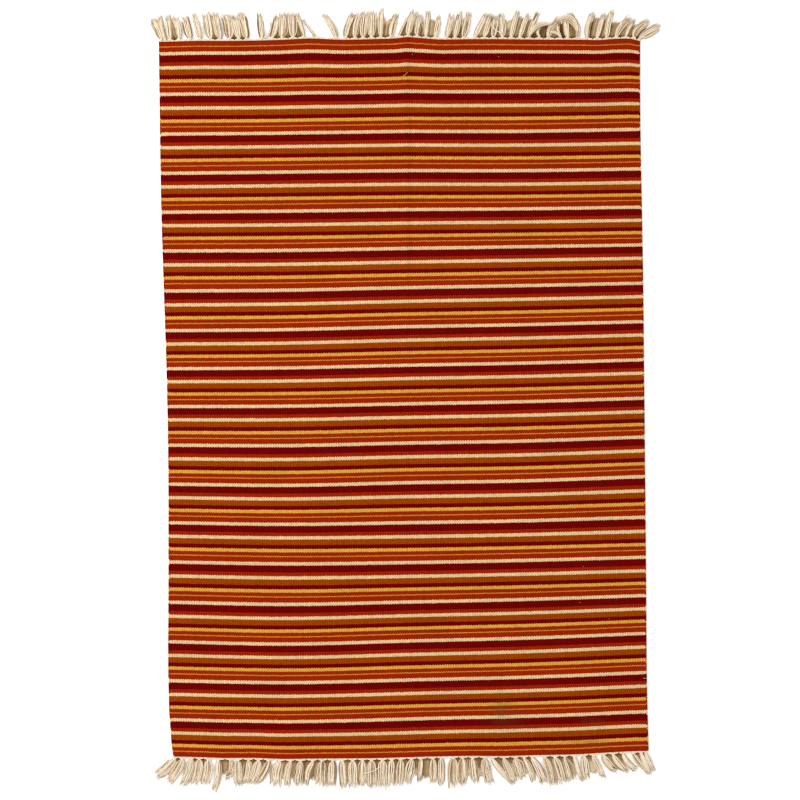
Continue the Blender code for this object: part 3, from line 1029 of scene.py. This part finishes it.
def make_tips(name, paths, material):
    """Each strand's frayed end: thin fibres that fan out and come down to the floor."""
    tip = paths[:, -1]
    ahead = tip - paths[:, -TIP_AIMED_FROM]
    ahead[:, 2] = 0.0
    ahead /= np.linalg.norm(ahead, axis=1, keepdims=True)
    fibres = (len(tip), TIP_FIBRES)
    angle = RANDOM.normal(0, TIP_FAN, fibres)
    curl = RANDOM.normal(0, TIP_CURL, fibres)
    length = RANDOM.uniform(*TIP_LENGTHS, fibres) * MM
    place = np.linspace(0.0, 1.0, TIP_STEPS)[None, None, :]
    bearing = angle[..., None] + curl[..., None] * place
    step = length[..., None] * place
    ahead_x, ahead_y = ahead[:, 0, None, None], ahead[:, 1, None, None]
    x = ahead_x * np.cos(bearing) - ahead_y * np.sin(bearing)
    y = ahead_y * np.cos(bearing) + ahead_x * np.sin(bearing)
    start = tip[:, None, :] - ahead[:, None, :] * TIP_SET_BACK
    start = start + RANDOM.normal(0, TIP_START_SPREAD, (*fibres, 3)) * MM
    height = np.maximum(start[..., 2:3], TIP_LEAST_HEIGHT)
    end_height = RANDOM.uniform(0, TIP_END_HEIGHT, (*fibres, 1)) * MM
    z = height * (1 - TIP_FALL * place) + end_height * place
    lines = np.stack([start[..., 0:1] + step * x, start[..., 1:2] + step * y, z], axis=-1)
    lines = lines.reshape(-1, TIP_STEPS, 3)
    radii = TIP_RADIUS * (1 - TIP_TAPER * np.linspace(0, 1, TIP_STEPS))
    radii = np.tile(radii, (len(lines), 1))
    tone = toned(1.0, TIP_TONE_SPREAD, len(lines)).repeat(TIP_STEPS, 1)
    cords = tubes(lines, radii, tone, sides=3, side_tone=0.95)
    return cord_piece(name, cords, material)


# The bare warps: the share of each that the cloth hides, the share of the rest that is straight,
# and in mm how far apart they end across and upward.
WARP_STEPS = 9
WARP_RADIUS = 1.4 * MM
WARP_HIDDEN = 3 * MM
WARP_HIDDEN_SHARE = 0.25
WARP_STRAIGHT_SHARE = 0.26
WARP_END_ACROSS = 2.2
WARP_END_UPWARD = 0.6
WARP_TONE = 0.92


def bare_warps(end, t, outward):
    """The bare warps: straight out of the cloth, and then drawn in to the nearest knot."""
    across = (np.arange(WARPS) + 0.5) * WARP_PITCH - CLOTH_WIDTH / 2
    along = np.array([-CLOTH_LENGTH / 2, 0.0, CLOTH_LENGTH / 2])
    row = 0 if end == "near" else 2
    x, y = (grid[row] for grid in place_on_floor(across, along))
    lift = swell(across, along)[row]
    nearest = np.argmin(np.abs(x[:, None] - t.root[None, :]), axis=1)
    place = np.linspace(0.0, 1.0, WARP_STEPS)[None, :]
    beyond = share_past(place, WARP_HIDDEN_SHARE)
    drawn = eased(share_past(beyond, WARP_STRAIGHT_SHARE))
    hidden = np.clip(1 - place / WARP_HIDDEN_SHARE, 0, 1)
    out = KNOT_AT * (1 - (1 - beyond) ** 2) - WARP_HIDDEN * hidden
    target = t.root[nearest] + RANDOM.uniform(-WARP_END_ACROSS, WARP_END_ACROSS, WARPS) * MM
    px = x[:, None] * (1 - drawn) + target[:, None] * drawn
    py = y[:, None] * (1 - drawn) + t.edge[nearest][:, None] * drawn + outward * out
    upward = RANDOM.uniform(-WARP_END_UPWARD, WARP_END_UPWARD, (WARPS, 1)) * MM
    rise = KNOT_HEIGHT - CLOTH_THICKNESS / 2 + upward
    pz = CLOTH_THICKNESS / 2 + lift[:, None] * (1 - drawn) + rise * drawn
    tone = toned(WARP_TONE, SPREAD, WARPS).repeat(WARP_STEPS, 1)
    radii = np.full((WARPS, WARP_STEPS), WARP_RADIUS)
    return tubes(np.stack([px, py, pz], axis=-1), radii, tone, sides=8)


# The knots' coils. Their added width and half length are in mm.
KNOT_STEPS = 30
KNOT_TURNS = 2.0
KNOT_HALF_WIDTH = 2.6 * MM
KNOT_ADDED_WIDTH = 0.6
KNOT_HALF_HEIGHT = 2.1 * MM
KNOT_RAISED = 0.3 * MM
KNOT_LEAST_HEIGHT = 1.4 * MM
KNOT_SLANT = 0.5
KNOT_SLANT_REACH = 1.6 * MM
KNOT_HALF_LENGTH = 1.5
KNOT_PAST = 1.0 * MM
KNOT_RADIUS = 1.3 * MM
KNOT_TONE = 0.97
KNOT_TONE_SPREAD = 0.05


def knot_coils(t, outward):
    """The knots: cotton wound round the neck of each tassel."""
    knots = (len(t.root), 1)
    turn = np.linspace(0, KNOT_TURNS * 2 * np.pi, KNOT_STEPS) + RANDOM.uniform(0, START_TURN, knots)
    slim = np.minimum(1.0, t.belly / FULL_BELLY)[:, None]
    wide = (KNOT_HALF_WIDTH + RANDOM.uniform(0, KNOT_ADDED_WIDTH, knots) * MM) * slim
    slant = RANDOM.uniform(-KNOT_SLANT, KNOT_SLANT, knots)
    drift = np.linspace(-KNOT_HALF_LENGTH, KNOT_HALF_LENGTH, KNOT_STEPS) * MM
    x = t.root[:, None] + wide * np.cos(turn)
    out = KNOT_AT + KNOT_PAST + drift + slant * KNOT_SLANT_REACH * np.cos(turn)
    y = t.edge[:, None] + outward * out
    z = KNOT_HEIGHT + KNOT_HALF_HEIGHT * slim * np.sin(turn) + KNOT_RAISED
    z = np.maximum(z, KNOT_LEAST_HEIGHT)
    tone = toned(KNOT_TONE, KNOT_TONE_SPREAD, len(t.root)).repeat(KNOT_STEPS, 1)
    radii = KNOT_RADIUS * slim.repeat(KNOT_STEPS, 1)
    return tubes(np.stack([x, y, z], axis=-1), radii, tone, sides=8)


def make_knots(name, end, t, outward, material):
    # The knots' piece also holds the floor cords coloured with painted shade.
    parts = [bare_warps(end, t, outward), knot_coils(t, outward), shaded_cords(t, outward)]
    return cord_piece(name, join(parts), material)


# Loose cotton threads and lint, in the picture's pixels: where each starts and ends, how far
# its middle bows to the left of its way, its radius and its height, in mm, and how many lie side
# by side, each bowing less than the last by the spread.
Thread = namedtuple("Thread", "x0 y0 x1 y1 bow radius height strands spread")
THREADS = table(
    Thread,
    (381.4, 764.4, 360.5, 772.6, 5.5, 1.1, 8.5, 1, 0),
    (230.7, 761, 233.2, 772, -1, 1.2, 6.5, 1, 0),
    (233.2, 771.6, 224, 776.8, 3, 1.2, 5.5, 1, 0),
    (232.2, 761, 235, 771, -2, 1.2, 5.0, 1, 0),
    (225.5, 777, 224, 785, 1, 0.6, 2.0, 1, 0),
    (228.5, 776, 229, 785, -1, 0.6, 2.0, 1, 0),
    (263.2, 37.5, 269.4, 20.4, -7, 1.3, 5.5, 1, 0),
    (264.5, 37.8, 270.4, 22, -7, 1.3, 4.5, 1, 0),
    (502.5, 33, 491.2, 24.5, 5, 1.2, 8.5, 1, 0),
    (528.5, 35, 551, 22.8, 16, 1.3, 8.5, 6, 1.7),
    (560, 36.5, 549.5, 31.5, -2, 1.3, 7.5, 4, 1.6),
    (556.6, 17.5, 577.5, 30.5, 22, 1.3, 8.0, 7, 1.9),
    (402.3, 75.8, 407, 71.8, -1, 0.3, 6.0, 1, 0),
    (411.5, 54, 412.5, 53.8, 0.3, 0.35, 4.6, 1, 0),
    (497.8, 56.2, 498.6, 56, 0.3, 0.3, 4.7, 1, 0),
    (582.4, 566.4, 583.2, 566.2, 0.3, 0.3, 4.9, 1, 0),
    (578.9, 602.2, 579.7, 602.4, 0.3, 0.3, 4.9, 1, 0),
    (608.2, 618.4, 609, 618.2, 0.3, 0.3, 4.9, 1, 0),
    (642.6, 677.6, 646.6, 678.1, 0.3, 0.35, 4.9, 1, 0),
)
THREAD_STEPS = 14
THREAD_TONE = 0.95
NEXT_STRAND_ASIDE = 0.4

# Every other strand of a thread lies lower, in mm, and is darker with painted shade, and so is
# each further one.
LOWER_STRAND = 0.5
LOWER_STRAND_SHADE = 0.25
FURTHEST_STRAND_SHADE = 0.35


def thread_strand(thread, strand):
    """One strand of a thread, as a tube."""
    place = np.linspace(0.0, 1.0, THREAD_STEPS)
    start = np.array(to_floor(thread.x0, thread.y0))
    stop = np.array(to_floor(thread.x1, thread.y1))
    way = stop - start
    aside = np.array([-way[1], way[0]]) / np.linalg.norm(way)
    lower = strand % 2
    less = strand * thread.spread
    bow = (thread.bow - less) * np.sin(np.pi * place)[:, None]
    line = start + way * place[:, None] + aside * (bow - less * NEXT_STRAND_ASIDE) * MM
    height = thread.height - LOWER_STRAND * lower
    path = np.column_stack([line, np.full(THREAD_STEPS, height * MM)])[None]
    radii = np.full((1, THREAD_STEPS), thread.radius * MM)
    shade = LOWER_STRAND_SHADE * lower + FURTHEST_STRAND_SHADE * strand / thread.strands
    return tubes(path, radii, np.full((1, THREAD_STEPS), THREAD_TONE - shade), sides=8)


def make_threads(name, material):
    strands = [thread_strand(thread, i) for thread in THREADS for i in range(thread.strands)]
    return cord_piece(name, join(strands), material)


def make_fringe(end, tassels, material, frayed):
    outward = -1 if end == "near" else 1
    t = fringe_of(end, tassels)
    strands, paths = make_strands(f"{end}_strands", t, outward, material)
    knots = make_knots(f"{end}_knots", end, t, outward, material)
    tips = make_tips(f"{end}_tips", paths, frayed)
    pieces = [strands, knots, tips]
    for piece in pieces:
        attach(piece, "root")
        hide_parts(f"{end}_fringe")
    return pieces


FLOOR_SIZE = 30.0
FLOOR_DROP = 0.2 * MM
SKY_STRENGTH = 1.02
PIXEL_FILTER = 1.35
Lamp = namedtuple("Lamp", "name place size power")
LAMPS = (
    Lamp("window_light", (-3.3, 1.0, 2.9), 3.4, 134.0),
    Lamp("fill_light", (2.4, -2.0, 3.4), 2.4, 14.0),
)


def make_floor():
    corners = np.array([(-1, -1, 0), (1, -1, 0), (1, 1, 0), (-1, 1, 0)], float)
    points = corners * FLOOR_SIZE / 2
    points[:, 2] = -FLOOR_DROP
    floor = mesh_piece("floor", points, [np.array([[0, 1, 2, 3]])], floor_material())


def make_light():
    world = bpy.data.worlds.new("soft_studio")
    bpy.context.scene.world = world
    world.use_nodes = True
    background = world.node_tree.nodes["Background"]
    background.inputs["Color"].default_value = (1.0, 1.0, 1.0, 1.0)
    background.inputs["Strength"].default_value = SKY_STRENGTH
    for lamp in LAMPS:
        data = bpy.data.lights.new(lamp.name, "AREA")
        data.shape = "SQUARE"
        data.size = lamp.size
        data.energy = lamp.power
        placed = new_object(lamp.name, data)
        placed.location = lamp.place
        placed.rotation_euler = (-Vector(lamp.place)).to_track_quat("-Z", "Y").to_euler()


def make_camera():
    data = bpy.data.cameras.new("camera")
    data.lens = LENS
    data.sensor_width = SENSOR
    camera = new_object("camera", data)
    height = PICTURE_PIXELS * PIXEL * LENS / SENSOR
    camera.location = (*PICTURE_MIDDLE, height + CLOTH_THICKNESS)
    bpy.context.scene.camera = camera


def keep_weave_crisp():
    """Picks are finer than a pixel here, so noise removal works without smoothed guides."""
    settings = bpy.context.scene.cycles
    settings.denoising_prefilter = "NONE"
    settings.filter_width = PIXEL_FILTER


def main():
    make_camera()
    keep_weave_crisp()
    make_light()
    make_floor()
    bpy.context.scene.view_settings.view_transform = "Standard"
    cotton = cotton_material("fringe_cotton", COTTON_TONES)
    frayed = cotton_material("frayed_cotton", FRAYED_TONES)
    cloth = make_cloth(wool_material())
    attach(cloth, "root")
    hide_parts("woven_cloth")
    fringe = make_fringe("far", FAR_TASSELS, cotton, frayed)
    fringe += make_fringe("near", NEAR_TASSELS, cotton, frayed)
    threads = make_threads("loose_threads", cotton)
    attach(threads, "root")


main()
bpy.context.view_layer.update()
